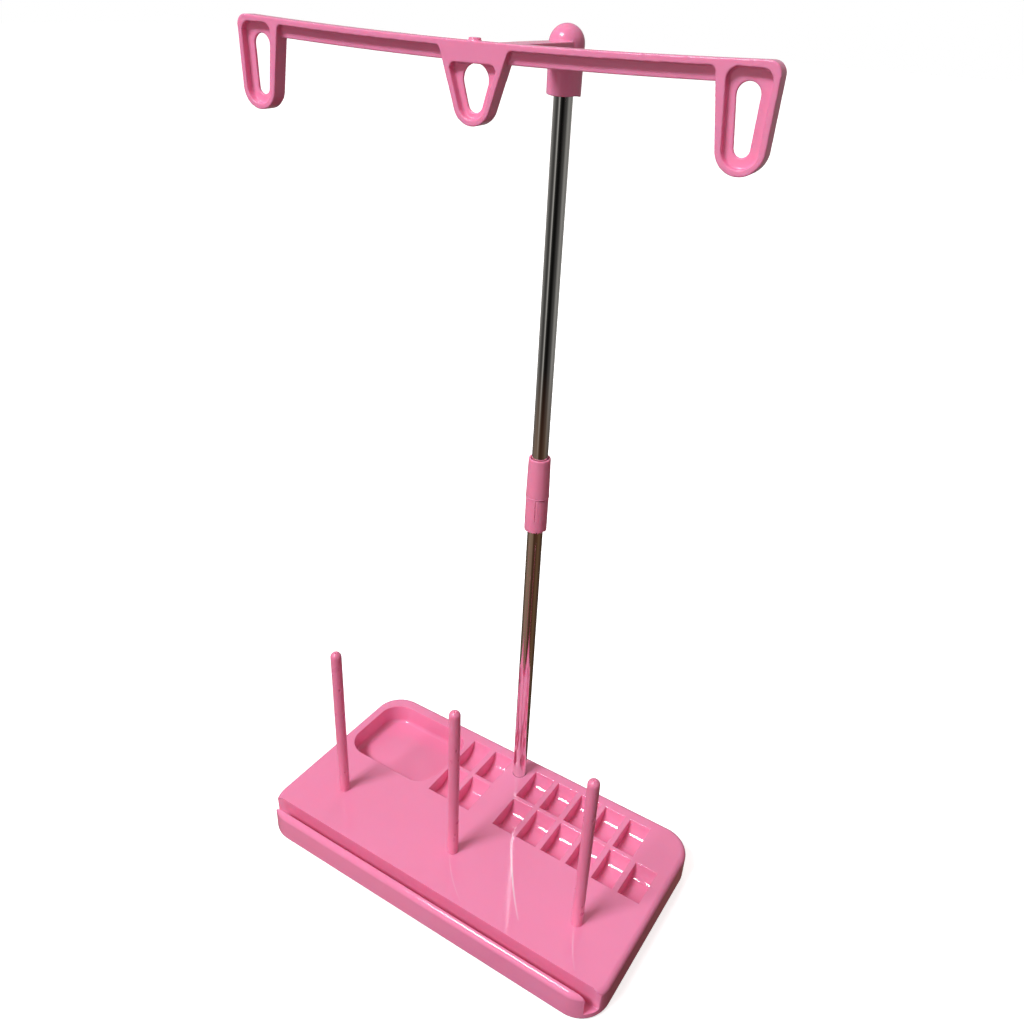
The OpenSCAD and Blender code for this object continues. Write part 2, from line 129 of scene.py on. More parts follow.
def split(tree, vector):
    """Node that gives a vector's X, Y and Z."""
    parts = tree.nodes.new("ShaderNodeSeparateXYZ")
    tree.links.new(vector, parts.inputs["Vector"])
    return parts


def calculate(tree, kind, *values):
    """Math node of a kind, fed by sockets or plain numbers."""
    made = tree.nodes.new("ShaderNodeMath")
    made.operation = kind
    for socket, value in zip(made.inputs, values):
        feed(tree, socket, value)
    return made.outputs["Value"]


def rescale(tree, source, from_range, to_range=(0.0, 1.0)):
    """Map a value from one range to another, and stop at its ends."""
    made = tree.nodes.new("ShaderNodeMapRange")
    made.inputs["From Min"].default_value, made.inputs["From Max"].default_value = from_range
    made.inputs["To Min"].default_value, made.inputs["To Max"].default_value = to_range
    tree.links.new(source, made.inputs["Value"])
    return made.outputs["Result"]


def noise(tree, scale, detail=3.0, rough=0.5, stretch=(1.0, 1.0, 1.0)):
    """Soft noise in the object's own space, with scale as waves per metre."""
    mapping = tree.nodes.new("ShaderNodeMapping")
    mapping.inputs["Scale"].default_value = stretch
    tex = tree.nodes.new("ShaderNodeTexNoise")
    tex.inputs["Scale"].default_value = scale
    tex.inputs["Detail"].default_value = detail
    tex.inputs["Roughness"].default_value = rough
    tree.links.new(coordinates(tree, "Object"), mapping.inputs["Vector"])
    tree.links.new(mapping.outputs["Vector"], tex.inputs["Vector"])
    return tex.outputs["Fac"]


def ramp(tree, source, stops):
    """Colour ramp through (place, colour) stops."""
    made = tree.nodes.new("ShaderNodeValToRGB")
    elements = made.color_ramp.elements
    while len(elements) < len(stops):
        elements.new(0.5)
    for element, (place, colour) in zip(elements, stops):
        element.position = place
        element.color = (*colour, 1.0)
    tree.links.new(source, made.inputs["Fac"])
    return made.outputs["Color"]


def mixed(tree, share, first, second):
    """Colour between two others, each from a socket or plain."""
    mix = tree.nodes.new("ShaderNodeMix")
    mix.data_type = "RGBA"
    mix.clamp_factor = True
    tree.links.new(share, mix.inputs["Factor"])
    feed(tree, mix.inputs["A"], first)
    feed(tree, mix.inputs["B"], second)
    return mix.outputs["Result"]


def bump(tree, source, distance, shader, before=None):
    """Relief of a depth in metres, on top of an earlier one if there is one."""
    made = tree.nodes.new("ShaderNodeBump")
    made.inputs["Strength"].default_value = 1.0
    made.inputs["Distance"].default_value = distance
    tree.links.new(source, made.inputs["Height"])
    if before:
        tree.links.new(before, made.inputs["Normal"])
    tree.links.new(made.outputs["Normal"], shader.inputs["Normal"])
    return made.outputs["Normal"]


# ---- Materials ----

# Noises of moulded plastic, as (waves per metre, detail)
TINT_NOISE = (16.0, 3.0)
GLOSS_NOISE = (120.0, 4.0)
SINK_NOISE = (30.0, 1.0)
GRAIN_NOISE = (1500.0, 2.0)
# Noises of plated metal: draw lines with roughness and stretch along the tube, and wiped gloss
DRAW_NOISE = (60.0, 3.0, 0.6, (30.0, 30.0, 0.5))
WIPE_NOISE = (90.0, 4.0)
DRAW_DEPTH = 0.000004
# Parts of a noise's range that a tint and a roughness are spread over
TINT_RANGE = (0.35, 0.65)
GLOSS_RANGE = (0.3, 0.7)
# Moulded plastic: how it bends light, and how much, in which colour and how deep it lets light in
PLASTIC_IOR = 1.5
SCATTER_SHARE = 0.25
SCATTER_COLOUR = (1.0, 0.15, 0.25)
SCATTER_DEPTH = 0.002
BLACK = (0.0, 0.0, 0.0, 1.0)


def tint(tree, source, light, dark):
    """Colour that drifts from dark to light with a noise."""
    return ramp(tree, source, list(zip(TINT_RANGE, (dark, light))))


def moulded_plastic(name, light, dark, gloss, wave, grain):
    """Moulded plastic of a drifting colour, with sink marks and grain of a depth in metres."""
    mat, tree, shader = new_material(name)
    tree.links.new(tint(tree, noise(tree, *TINT_NOISE), light, dark), shader.inputs["Base Color"])
    roughness = rescale(tree, noise(tree, *GLOSS_NOISE), GLOSS_RANGE, gloss)
    tree.links.new(roughness, shader.inputs["Roughness"])
    shader.inputs["IOR"].default_value = PLASTIC_IOR
    shader.inputs["Subsurface Weight"].default_value = SCATTER_SHARE
    shader.inputs["Subsurface Radius"].default_value = SCATTER_COLOUR
    shader.inputs["Subsurface Scale"].default_value = SCATTER_DEPTH
    sink = bump(tree, noise(tree, *SINK_NOISE), wave, shader)
    bump(tree, noise(tree, *GRAIN_NOISE), grain, shader, sink)
    return mat


def plated_metal(name, light, dark, gloss):
    """Bright plating with fine draw lines along the tube."""
    mat, tree, shader = new_material(name)
    lines = noise(tree, *DRAW_NOISE)
    tree.links.new(tint(tree, lines, light, dark), shader.inputs["Base Color"])
    shader.inputs["Metallic"].default_value = 1.0
    roughness = rescale(tree, noise(tree, *WIPE_NOISE), GLOSS_RANGE, gloss)
    tree.links.new(roughness, shader.inputs["Roughness"])
    bump(tree, lines, DRAW_DEPTH, shader)
    return mat


PINK = moulded_plastic(
    "pink_gloss",
    light=(0.95, 0.285, 0.49),
    dark=(0.93, 0.275, 0.47),
    gloss=(0.16, 0.24),
    wave=0.00003,
    grain=0.0000006,
)
BASE_PINK = moulded_plastic(
    "base_pink",
    light=(0.95, 0.285, 0.49),
    dark=(0.93, 0.275, 0.47),
    gloss=(0.05, 0.09),
    wave=0.00001,
    grain=0.0000002,
)
PIN_PINK = moulded_plastic(
    "pin_pink",
    light=(0.92, 0.265, 0.45),
    dark=(0.87, 0.235, 0.4),
    gloss=(0.26, 0.34),
    wave=0.00001,
    grain=0.000001,
)
SATIN = moulded_plastic(
    "satin_pink",
    light=(0.95, 0.28, 0.45),
    dark=(0.9, 0.24, 0.4),
    gloss=(0.36, 0.5),
    wave=0.00005,
    grain=0.000008,
)
CHROME = plated_metal(
    "bright_plating",
    light=(0.9, 0.88, 0.86),
    dark=(0.82, 0.8, 0.78),
    gloss=(0.04, 0.09),
)
STEEL = plated_metal(
    "zinc_steel",
    light=(0.55, 0.55, 0.56),
    dark=(0.42, 0.42, 0.43),
    gloss=(0.25, 0.4),
)
RUBBER = moulded_plastic(
    "foot_rubber",
    light=(0.02, 0.02, 0.02),
    dark=(0.012, 0.012, 0.012),
    gloss=(0.6, 0.8),
    wave=0.0001,
    grain=0.00001,
)
PLUG = moulded_plastic(
    "plug_plastic",
    light=(0.05, 0.05, 0.055),
    dark=(0.04, 0.04, 0.045),
    gloss=(0.4, 0.5),
    wave=0.0001,
    grain=0.000005,
)
FINISH = {
    "pink_plastic": PINK,
    "bright_rod": CHROME,
    "screw_steel": STEEL,
    "foot_rubber": RUBBER,
    "plug_plastic": PLUG,
}

# Each flow line's start on the deck in mm, its lean and curl, its length in mm and its strength. The
# lines run where the melt met again, and their near-white colour is a painted highlight
FLOW_HIGHLIGHT_LINES = (
    ((21.9, 1.4), 0.66, 0.000052, 42.0, 1.0),
    ((-0.2, -27.2), 0.84, 0.00056, 21.0, 0.22),
    ((78.5, -27.4), 0.48, 0.00027, 21.0, 0.22),
)
# Near-white colour of the lines: a painted highlight along the knit lines
FLOW_HIGHLIGHT_COLOUR = (1.0, 0.75, 0.84, 1.0)
# Half width of a flow line in mm, softness of its sides, and how blunt its two ends are
FLOW_HIGHLIGHT_WIDTH = 0.85
FLOW_HIGHLIGHT_SOFTNESS = 0.1
FLOW_HIGHLIGHT_TAPER = 0.6
# How far below the deck's top a point may lie and still show the lines, in metres
FLOW_HIGHLIGHT_DEPTH = 0.2 * MM


def flow_highlight_line(tree, parts, start, lean, curl, length, strength):
    """Share of a fine line that runs from a start on the deck to the front, and bends right."""
    across = calculate(tree, "MULTIPLY", parts.outputs["X"], 1 / MM)
    along = calculate(tree, "MULTIPLY_ADD", parts.outputs["Y"], -1 / MM, start[1])
    run = calculate(tree, "MAXIMUM", along, 0.0)
    bend = calculate(tree, "MULTIPLY", calculate(tree, "POWER", run, 3.0), curl)
    line = calculate(tree, "ADD", calculate(tree, "MULTIPLY_ADD", run, lean, start[0]), bend)
    off = calculate(tree, "ABSOLUTE", calculate(tree, "SUBTRACT", across, line))
    near = calculate(tree, "MULTIPLY_ADD", off, -1.0 / FLOW_HIGHLIGHT_WIDTH, 1.0)
    thin = calculate(tree, "SMOOTH_MAX", near, 0.0, FLOW_HIGHLIGHT_SOFTNESS)
    share = calculate(tree, "DIVIDE", along, length)
    ends = calculate(tree, "SINE", calculate(tree, "MULTIPLY", share, math.pi))
    tapered = calculate(tree, "POWER", ends, FLOW_HIGHLIGHT_TAPER)
    # Nothing shows before the line's start or past its end
    inside = calculate(tree, "COMPARE", share, 0.5, 0.5)
    shown = calculate(tree, "MULTIPLY", calculate(tree, "MULTIPLY", thin, inside), tapered)
    return calculate(tree, "MULTIPLY", shown, strength)


def add_flow_highlight_lines(material):
    """Fine lines where the melt met again behind the stand and the pins, painted near-white as a
    highlight.
    """
    tree = material.node_tree
    colour = tree.nodes["Principled BSDF"].inputs["Base Color"]
    parts = split(tree, coordinates(tree, "Object"))
    total = 0.0
    for line in FLOW_HIGHLIGHT_LINES:
        total = calculate(tree, "ADD", total, flow_highlight_line(tree, parts, *line))
    on_deck = calculate(tree, "GREATER_THAN", parts.outputs["Z"], DECK - FLOW_HIGHLIGHT_DEPTH)
    shown = calculate(tree, "MULTIPLY", total, on_deck)
    # Painted highlight: the lines mix the deck's colour toward near-white
    tree.links.new(mixed(tree, shown, colour.links[0].from_socket, FLOW_HIGHLIGHT_COLOUR), colour)


def finish_nodes():
    """Give every CAD node the material of its slot."""
    for name, obj in NODES.items():
        obj.data.materials.clear()
        obj.data.materials.append(FINISH[SLOTS[name]])


# ---- Pieces made from a node's own mesh ----


def add_object(name, data):
    """Link a new object that holds a mesh or a light."""
    obj = bpy.data.objects.new(name, data)
    bpy.context.scene.collection.objects.link(obj)
    return obj


def stand_in(piece, name, material):
    """Let a piece stand for a CAD node: the node hidden, same body, its own surface."""
    piece.data.materials.clear()
    piece.data.materials.append(material)
    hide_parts(name)
    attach(piece, BODIES[name])


def settle(piece):
    """Apply a piece's modifiers, so that its mesh holds the final shape."""
    graph = bpy.context.evaluated_depsgraph_get()
    final = piece.evaluated_get(graph)
    done = bpy.data.meshes.new_from_object(final, preserve_all_data_layers=True, depsgraph=graph)
    piece.modifiers.clear()
    piece.data = done


# Distance below which points of the base become one, in metres
BASE_WELD = 0.03 * MM
# In degrees: faces flatter than this become one, edges blunter than the next aren't rounded, and
# edges steeper than the last look sharp
FLAT_ANGLE = 0.6
EDGE_ANGLE = 24
SHARP_ANGLE = 40
# Radius in mm of an edge with full bevel weight, and steps across a rounded edge
BEVEL_FULL = 2.0
BEVEL_STEPS = 3
# How strongly large faces lead the shading of the small ones beside them, of 100
FACE_LEAD = 80


def softened(name, material, round_at, reshape):
    """Copy a node's mesh, reshape it, and round each edge by the radius that round_at gives it."""
    shape = bmesh.new()
    shape.from_mesh(NODES[name].data)
    bmesh.ops.remove_doubles(shape, verts=shape.verts, dist=BASE_WELD)
    flat = math.radians(FLAT_ANGLE)
    bmesh.ops.dissolve_limit(shape, angle_limit=flat, verts=shape.verts, edges=shape.edges)
    reshape(shape)
    shape.normal_update()
    layer = shape.edges.layers.float.new("bevel_weight_edge")
    for edge in shape.edges:
        edge.smooth = True
        if len(edge.link_faces) == 2 and edge.calc_face_angle() > math.radians(EDGE_ANGLE):
            middle = (edge.verts[0].co + edge.verts[1].co) / 2
            radius = round_at(middle, edge)
            edge[layer] = radius / BEVEL_FULL
            edge.smooth = radius > 0
    mesh = bpy.data.meshes.new(name + "_soft")
    shape.to_mesh(mesh)
    shape.free()
    # The old shading of the copied mesh would spoil the new edges
    for extra in ("custom_normal", "sharp_face"):
        if extra in mesh.attributes:
            mesh.attributes.remove(mesh.attributes[extra])
    piece = add_object(name + "_soft", mesh)
    bevel = piece.modifiers.new("round", "BEVEL")
    bevel.limit_method = "WEIGHT"
    bevel.width = BEVEL_FULL * MM
    bevel.segments = BEVEL_STEPS
    bevel.use_clamp_overlap = False
    bevel.miter_outer = "MITER_SHARP"
    settle(piece)
    piece.data.set_sharp_from_angle(angle=math.radians(SHARP_ANGLE))
    even = piece.modifiers.new("even", "WEIGHTED_NORMAL")
    even.mode = "FACE_AREA"
    even.weight = FACE_LEAD
    even.keep_sharp = True
    settle(piece)
    stand_in(piece, name, material)


# Back wall of the groove in the solids, how far off it a point may lie, how much further back it
# stands here, and the height that its lowest points lie above, in metres
GROOVE_BACK = -51.5 * MM
GROOVE_REACH = 0.1 * MM
GROOVE_EXTRA = 1.0 * MM
GROOVE_FLOOR = 5 * MM


def open_groove(shape):
    """The groove is a little wider than in the solids: its back wall stands further back."""
    for vert in shape.verts:
        if abs(vert.co.y - GROOVE_BACK) < GROOVE_REACH and vert.co.z > GROOVE_FLOOR:
            vert.co.y += GROOVE_EXTRA


# Base edges that stay as they are: sharp folds, slivers, the groove's ends (beyond a distance from
# the middle, between a front and a back line), and short edges near the bottom. The angle is in
# radians and the rest is in metres
FOLD_ANGLE = math.radians(115)
SLIVER = 0.5 * MM
ENDS_SIDE = 98 * MM
ENDS_FRONT = -59 * MM
ENDS_BACK = -48 * MM
BOTTOM_BAND = 3 * MM
BOTTOM_SHORT = 1.2 * MM
# Edges count as the deck's or as the lip's where they lie this near to them, in metres
DECK_BAND = 0.3 * MM
LIP_BAND = 6 * MM
# Radii in mm of the groove's lip, the rims in the deck, and all other edges
LIP_RADIUS = 0.5
RIM_RADIUS = 0.35
OTHER_RADIUS = 0.3


def base_edge(middle, edge):
    """Radius in mm of a base edge: rims soft, the groove's lip softer, awkward edges left sharp."""
    if edge.calc_face_angle() > FOLD_ANGLE or edge.calc_length() < SLIVER:
        return 0.0
    if abs(middle.x) > ENDS_SIDE and ENDS_FRONT < middle.y < ENDS_BACK:
        return 0.0
    if middle.z < BASE_LOW.z + BOTTOM_BAND and edge.calc_length() < BOTTOM_SHORT:
        return 0.0
    if middle.z > DECK - DECK_BAND:
        return LIP_RADIUS if middle.y < BASE_LOW.y + LIP_BAND else RIM_RADIUS
    return OTHER_RADIUS


# Distance below which points of the guide become one, in metres, and share of each smoothing step
GUIDE_WELD = 0.01 * MM
SMOOTH_STEP = 0.5


def relaxed(name, material, cell, passes, keep):
    """Copy a node's mesh as even cells of a size in mm, and relax them: edges and corners round."""
    shape = bmesh.new()
    shape.from_mesh(NODES[name].data)
    bmesh.ops.remove_doubles(shape, verts=shape.verts, dist=GUIDE_WELD)
    mesh = bpy.data.meshes.new(name + "_relaxed")
    shape.to_mesh(mesh)
    shape.free()
    piece = add_object(name + "_relaxed", mesh)
    cells = piece.modifiers.new("cells", "REMESH")
    cells.mode = "VOXEL"
    cells.voxel_size = cell * MM
    cells.use_smooth_shade = True
    relax = piece.modifiers.new("relax", "SMOOTH")
    relax.factor = SMOOTH_STEP
    relax.iterations = passes
    thin = piece.modifiers.new("thin", "DECIMATE")
    thin.ratio = keep
    settle(piece)
    stand_in(piece, name, material)
    return piece


def bell(value, width):
    """Smooth bump of height 1 round zero."""
    return math.exp(-((value / width) ** 2))


def away(angle, degrees):
    """Signed angle from a direction given in degrees, in radians."""
    gap = angle - math.radians(degrees)
    return math.atan2(math.sin(gap), math.cos(gap))


# The head's lower edge: how near the stand its points are looked for, the ring of its wall, and
# the height of the uneven band, in metres
HEAD_NEAR = 7.2 * MM
HEAD_INNER = 4.3 * MM
HEAD_OUTER = 7.3 * MM
HEAD_BAND = 2.5 * MM
# Height of its wave and its tooth in mm, turn of the wave in radians, the tooth's direction in
# degrees and its width in radians
HEAD_WAVE = 0.2
HEAD_TOOTH = 0.9
WAVE_TURN = 1.0
TOOTH_ANGLE = 18
TOOTH_WIDTH = 0.16


def uneven_head(piece):
    """The head's lower edge is not quite level, and has a small tooth at its right."""
    vertices = piece.data.vertices
    head_low = min(v.co.z for v in vertices if (v.co.xy - STAND.xy).length < HEAD_NEAR)
    for vert in vertices:
        out = vert.co.xy - STAND.xy
        if not HEAD_INNER <= out.length <= HEAD_OUTER or vert.co.z > head_low + HEAD_BAND:
            continue
        angle = math.atan2(out.y, out.x)
        lift = HEAD_WAVE + HEAD_WAVE * math.sin(2 * angle + WAVE_TURN)
        lift -= HEAD_TOOTH * bell(away(angle, TOOTH_ANGLE), TOOTH_WIDTH)
        share = 1 - (vert.co.z - head_low) / HEAD_BAND
        vert.co.z = max(head_low, vert.co.z + lift * MM * share)


# ---- Turned pieces: profiles are (radius, height) points in mm ----

# Radius of the tiny ring that closes a profile at the axis, in mm
AXIS_RING = 0.05
# Edges of a turned piece steeper than this look sharp, in degrees
TURNED_SHARP = 55
# Steps across a small rounded edge, a rim, and a pin's tip
EDGE_TURNS = 4
RIM_TURNS = 6
TIP_TURNS = 20


def stretch(low, high, step):
    """Heights from low to high, about a step apart."""
    count = max(1, round((high - low) / step))
    return [low + (high - low) * k / count for k in range(count + 1)]


def corner(radius, height, bend, start, turns):
    """Quarter round about a point of a profile, from a start angle in degrees on."""
    points = []
    for k in range(turns + 1):
        angle = math.radians(start + 90 * k / turns)
        points.append((radius + bend * math.cos(angle), height + bend * math.sin(angle)))
    return points


def ripple(x, y, z, across, along, seed):
    """Smooth noise between about -1 and 1, of so many waves per mm across and along the axis."""
    return field.noise(Vector((x * across, y * across, z * along + seed)))


def on_circle(radius, angle):
    """X and Y of a point at an angle on a circle."""
    return radius * math.cos(angle), radius * math.sin(angle)


def turned(name, profile, place, shift, segments):
    """Turned piece about an upright axis; shift moves each point by its angle and height."""
    shape = bmesh.new()
    rings = []
    for radius, height in profile:
        ring = []
        for k in range(segments):
            angle = 2 * math.pi * k / segments
            r, z = shift(radius, height, angle)
            ring.append(shape.verts.new(place + Vector((*on_circle(r, angle), z)) * MM))
        rings.append(ring)
    for low, high in zip(rings, rings[1:]):
        for k in range(segments):
            n = (k + 1) % segments
            shape.faces.new((low[k], low[n], high[n], high[k]))
    shape.faces.new(list(reversed(rings[0])))
    shape.faces.new(rings[-1])
    mesh = bpy.data.meshes.new(name)
    shape.to_mesh(mesh)
    shape.free()
    mesh.shade_smooth()
    mesh.set_sharp_from_angle(angle=math.radians(TURNED_SHARP))
    return add_object(name, mesh)


# Marks are laid out on circles of these radii in mm, so that a noise has the same size all round
COUPLING_MARKS = 6
PIN_MARKS = 3
# Noises of the marks, as (waves per mm across the axis, along it, seed that keeps them apart)
COARSE_BITES = (1.3, 0.0, 3.0)
FINE_BITES = (4, 0.0, 9.0)
FLASH_PATH = (0.0, 1.1, 5.0)
FLASH_HEIGHTS = (0.0, 1.7, 15.0)
LOWER_WALL = (0.5, 0.35, 1.0)
UPPER_WALL = (0.45, 0.3, 7.0)
UPPER_FLASH = (2.2, 2.2, 2.0)
RIM_HEIGHTS = (0.4, 0.0, 4.0)
# The pins' noise has a seed for each pin
PIN_WALL = (0.2, 0.03)

# Lower half in mm: how far outside the bore its marks start and its wall starts
BORE_CLEAR = 0.2
WALL_CLEAR = 0.8
# Peg smaller than the tube, ragged lower edge's reach and depth, and share of its fine waves, in mm
PEG_STEP = 0.55
RAGGED_REACH = 1.2
RAGGED_DEPTH = 2.2
RAGGED_FINE = 0.25
# Parting flash: direction in degrees, how far below the seam it starts and ends, how far it strays,
# its mean height and how much that varies, and the height and width of its ridge, in mm
FLASH_ANGLE = FRONT_ANGLE - 10
FLASH_SPAN = (12, 0.2)
FLASH_STRAY = 0.7
FLASH_MEAN = 0.75
FLASH_VARIES = 0.9
FLASH_RISE = 0.3
FLASH_WIDTH = 0.22
# Sunk line beside the flash: how far beside it and how wide, in mm
SUNK_BESIDE = 0.55
SUNK_WIDTH = 0.3
# The wall's unevenness, and how far the wall stands inside the solid for it, in mm
WALL_WAVE = 0.06
WALL_INSET = 0.25
# Top edge: height of the chipped band, what the whole edge loses, and each chip's direction in
# degrees, half width in radians and depth, in mm
CHIP_BAND = 0.7
CHIP_ALL = 0.12
CHIPS = ((FRONT_ANGLE + 32, 0.42, 0.7), (FRONT_ANGLE - 62, 0.4, 0.5))
# Radii of its lower and upper edge, chamfer of its peg, how far from both ends its wall's own points
# start, their step, and points round it
LOWER_FOOT = 0.35
LOWER_BROW = 0.25
PEG_CHAMFER = 0.4
LOWER_ENDS = 0.6
LOWER_STEP = 0.35
LOWER_SEGMENTS = 220


def bite_at(x, y):
    """Share of the ragged edge's depth at a point of the rim: coarse waves and fine ones."""
    coarse = max(0.0, ripple(x, y, 0.0, *COARSE_BITES))
    fine = max(0.0, ripple(x, y, 0.0, *FINE_BITES))
    return coarse + RAGGED_FINE * fine


def flash_at(off, z):
    """Height in mm of the parting flash, off its line by a distance: a ridge beside a sunk line."""
    tall = FLASH_MEAN + FLASH_VARIES * ripple(0.0, 0.0, z, *FLASH_HEIGHTS)
    ridge = FLASH_RISE * bell(off, FLASH_WIDTH)
    sunk = FLASH_RISE * bell(off - SUNK_BESIDE, SUNK_WIDTH)
    return tall * (ridge - sunk)


def chipped(angle):
    """Depth in mm of the chips in the top edge."""
    depth = 0.0
    for direction, half, deep in CHIPS:
        depth += deep * max(0.0, 1 - abs(away(angle, direction)) / half) ** 0.5
    return depth + CHIP_ALL


def lower_half():
    """Lower coupling half: ragged lower edge, a wavy parting flash and a chipped top edge."""
    low, top = heights("coupling_lower")
    width = half_width("coupling_lower")
    hole = half_width("lower_tube")
    web = heights("lower_tube")[1]
    peg = hole - PEG_STEP
    inside = hole + BORE_CLEAR
    outside = hole + WALL_CLEAR
    flash_low, flash_high = (SEAM - depth for depth in FLASH_SPAN)

    def shift(r, z, angle):
        if r < inside and z < SEAM:
            return r, z
        x, y = on_circle(COUPLING_MARKS, angle)
        if z < low + RAGGED_REACH:
            z += RAGGED_DEPTH * bite_at(x, y) * (low + RAGGED_REACH - z) / RAGGED_REACH
        if r > outside:
            stray = FLASH_STRAY * ripple(0.0, 0.0, z, *FLASH_PATH)
            off = away(angle, FLASH_ANGLE) * r - stray
            if flash_low < z < flash_high:
                r += flash_at(off, z)
            r += WALL_WAVE * ripple(x, y, z, *LOWER_WALL) - WALL_INSET
        if SEAM - CHIP_BAND < z <= SEAM:
            z -= chipped(angle)
        return (min(r, width) if r > hole else r), z

    profile = [(AXIS_RING, web), (hole, web), (hole, low)]
    profile += corner(width - LOWER_FOOT, low + LOWER_FOOT, LOWER_FOOT, -90, EDGE_TURNS)
    profile += [(width, z) for z in stretch(low + LOWER_ENDS, SEAM - LOWER_ENDS, LOWER_STEP)]
    profile += corner(width - LOWER_BROW, SEAM - LOWER_BROW, LOWER_BROW, 0, EDGE_TURNS)
    profile += [(peg, SEAM), (peg, top - PEG_CHAMFER), (peg - PEG_CHAMFER, top), (AXIS_RING, top)]
    piece = turned("coupling_lower_moulded", profile, STAND, shift, LOWER_SEGMENTS)
    stand_in(piece, "coupling_lower", SATIN)


# Upper half in mm: how much narrower its rim is than its foot, gap round the tube at its mouth,
# depth of the mouth, width and height of the mouth's chamfered floor, and radius of the rim
RIM_TAPER = 0.5
MOUTH_GAP = 0.5
MOUTH_DEPTH = 4.0
MOUTH_CHAMFER = (0.2, 0.3)
RIM_BEND = 0.6
# Thin flash round its foot, as (how far inside the full width, height over the seam), and how far
# over the seam its bore starts
FOOT_FLASH = ((0.12, 0.0), (0.0, 0.08), (0.0, 0.4), (0.18, 0.6))
BORE_LIFT = 0.05
# Where its wall starts, as the same two, how far outside the mouth its marks start, the step of its
# wall, and points round it
UPPER_INSET = 0.1
UPPER_LIFT = 0.8
UPPER_CLEAR = 0.4
UPPER_STEP = 0.5
UPPER_SEGMENTS = 160
# The wall's unevenness, the flash's roughness and how far it reaches from the seam, and the rim's
# unevenness with the height of the band that it moves, in mm
UPPER_WAVE = 0.045
UPPER_ROUGH = 0.03
ROUGH_REACH = 2.0
RIM_WAVE = 0.12
RIM_BAND = 1.5
# A face with more corners than this is a cap
CAP_CORNERS = 8


def upper_half():
    """Upper coupling half: a thin flash round its lower edge and a rounded rim round the tube."""
    high = heights("coupling_upper")[1]
    width = half_width("coupling_upper")
    hole = TUBE_RADIUS
    rim = width - RIM_TAPER
    mouth = hole + MOUTH_GAP
    outside = mouth + UPPER_CLEAR

    def shift(r, z, angle):
        x, y = on_circle(COUPLING_MARKS, angle)
        if r > outside:
            r += UPPER_WAVE * ripple(x, y, z, *UPPER_WALL)
            rough = ripple(x, y, z, *UPPER_FLASH)
            r += UPPER_ROUGH * rough * bell(z - SEAM, ROUGH_REACH)
        if z > high - RIM_BAND:
            z -= RIM_WAVE * (1 + ripple(x, y, z, *RIM_HEIGHTS))
        return min(r, width), z

    profile = [(hole, high - MOUTH_DEPTH), (hole, SEAM + BORE_LIFT)]
    profile += [(width - inset, SEAM + lift) for inset, lift in FOOT_FLASH]
    wall = width - UPPER_INSET
    wall_top = high - RIM_BEND
    for z in stretch(SEAM + UPPER_LIFT, wall_top, UPPER_STEP):
        share = (z - SEAM) / (wall_top - SEAM)
        profile.append((wall + (rim - wall) * share, z))
    profile += corner(rim - RIM_BEND, wall_top, RIM_BEND, 0, RIM_TURNS)[1:]
    lip = RIM_BEND / 2
    profile += corner(mouth + lip, high - lip, lip, 90, EDGE_TURNS)
    step, rise = MOUTH_CHAMFER
    profile += [(mouth, high - MOUTH_DEPTH + rise), (mouth - step, high - MOUTH_DEPTH)]
    piece = turned("coupling_upper_moulded", profile, STAND, shift, UPPER_SEGMENTS)
    # The ring closes on itself inside, so its two caps go
    shape = bmesh.new()
    shape.from_mesh(piece.data)
    caps = [face for face in shape.faces if len(face.verts) > CAP_CORNERS]
    bmesh.ops.delete(shape, geom=caps, context="FACES_ONLY")
    ends = [edge for edge in shape.edges if len(edge.link_faces) == 1]
    bmesh.ops.bridge_loops(shape, edges=ends)
    shape.to_mesh(piece.data)
    shape.free()
    stand_in(piece, "coupling_upper", SATIN)


# Pins in mm: how much thinner the foot in the socket is, height of the shoulder over the deck, step
# of the shank, flat of the tip, and points round a pin
PIN_FOOT = 0.2
PIN_SHOULDER = 0.2
PIN_STEP = 0.5
TIP_FLAT = 0.02
PIN_SEGMENTS = 96
# Marks start this far over the shoulder, this far in from the skin, and this far into the tip, in mm
SHANK_START = 1
SHANK_SKIN = 0.1
TIP_START = 1.5
# The shank's unevenness and its parting seam: direction in degrees, height and width in mm
SHANK_WAVE = 0.03
PIN_SEAM_ANGLE = FRONT_ANGLE + 38
PIN_SEAM_RISE = 0.035
PIN_SEAM_WIDTH = 0.12
# Gate nubs: places over the deck, direction in degrees, then rise, width and height in mm
NUB_PLACES = (77.9, 16.2)
NUB_ANGLE = -12.0
NUB_RISE = 0.4
NUB_WIDTH = 0.5
NUB_HEIGHT = 0.55
# Torn hollow beside and below each nub: how far off, depth, width and height in mm
TORN_OFF = 0.75
TORN_DEPTH = 1.1
TORN_WIDTH = 0.45
TORN_HEIGHT = 0.6
# Gate scar on the tip: its middle, the radius, rise and width of its rim, and the depth and width
# of its hollow, in mm
SCAR_X, SCAR_Y = 0.3, -0.2
SCAR_RADIUS = 0.75
SCAR_RISE = 0.25
SCAR_RIM = 0.25
SCAR_DEPTH = 0.45
SCAR_WIDTH = 0.55


def nub_at(side, rise):
    """Height in mm of a gate nub and its torn hollow, at a place beside and above its middle."""
    knob = NUB_RISE * bell(side, NUB_WIDTH) * bell(rise, NUB_HEIGHT)
    torn = TORN_DEPTH * bell(side + TORN_OFF, TORN_WIDTH) * bell(rise + TORN_OFF, TORN_HEIGHT)
    return knob - torn


def scar_at(x, y):
    """Height in mm of the gate scar on a pin's tip: a hollow in a low rim."""
    off = math.hypot(x - SCAR_X, y - SCAR_Y)
    return SCAR_RISE * bell(off - SCAR_RADIUS, SCAR_RIM) - SCAR_DEPTH * bell(off, SCAR_WIDTH)


